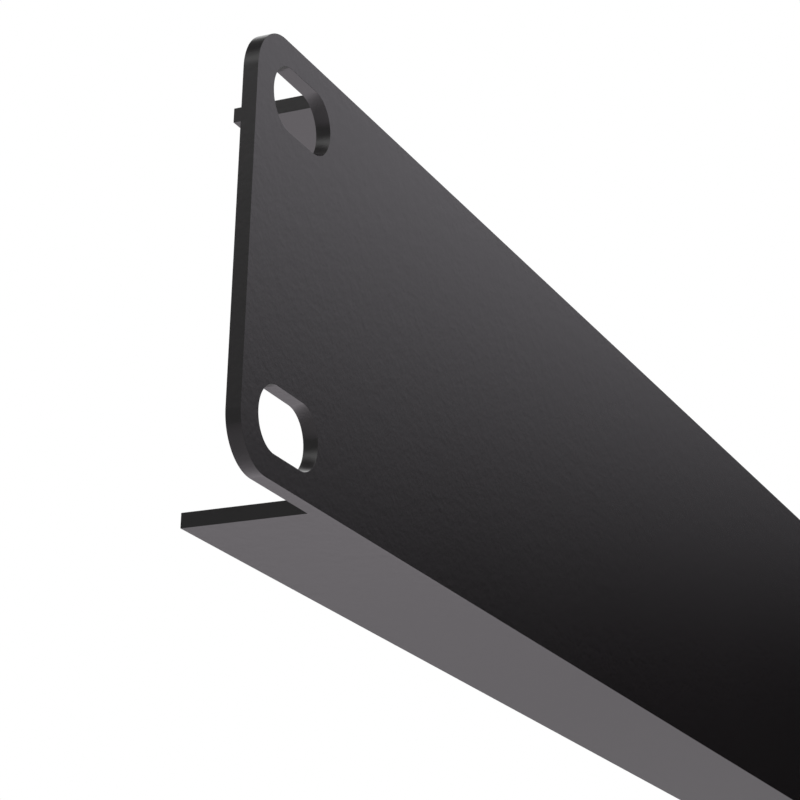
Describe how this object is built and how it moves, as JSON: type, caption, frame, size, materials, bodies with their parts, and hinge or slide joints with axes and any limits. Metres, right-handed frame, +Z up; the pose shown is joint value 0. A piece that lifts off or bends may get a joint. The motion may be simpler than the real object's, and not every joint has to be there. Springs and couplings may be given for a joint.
{
  "type": "blanking panel",
  "caption": "Black folded-steel panel that closes an empty place in an equipment rack: flat front, stiffening flanges along its long edges, slotted ears for the rail screws.",
  "frame": {"origin": "middle of the slot pattern, on the rear face of the front plate, which seats on the rack's rails", "axes": "+X along the panel, to the right as seen from the front; +Y to the rear, into the rack; +Z up"},
  "size_m": [0.483, 0.0152, 0.0434],
  "materials": {
    "powder_coat": "satin black powder coat with a fine texture"
  },
  "bodies": {
    "root": {"blanking_panel": "powder_coat"}
  },
  "joints": []
}
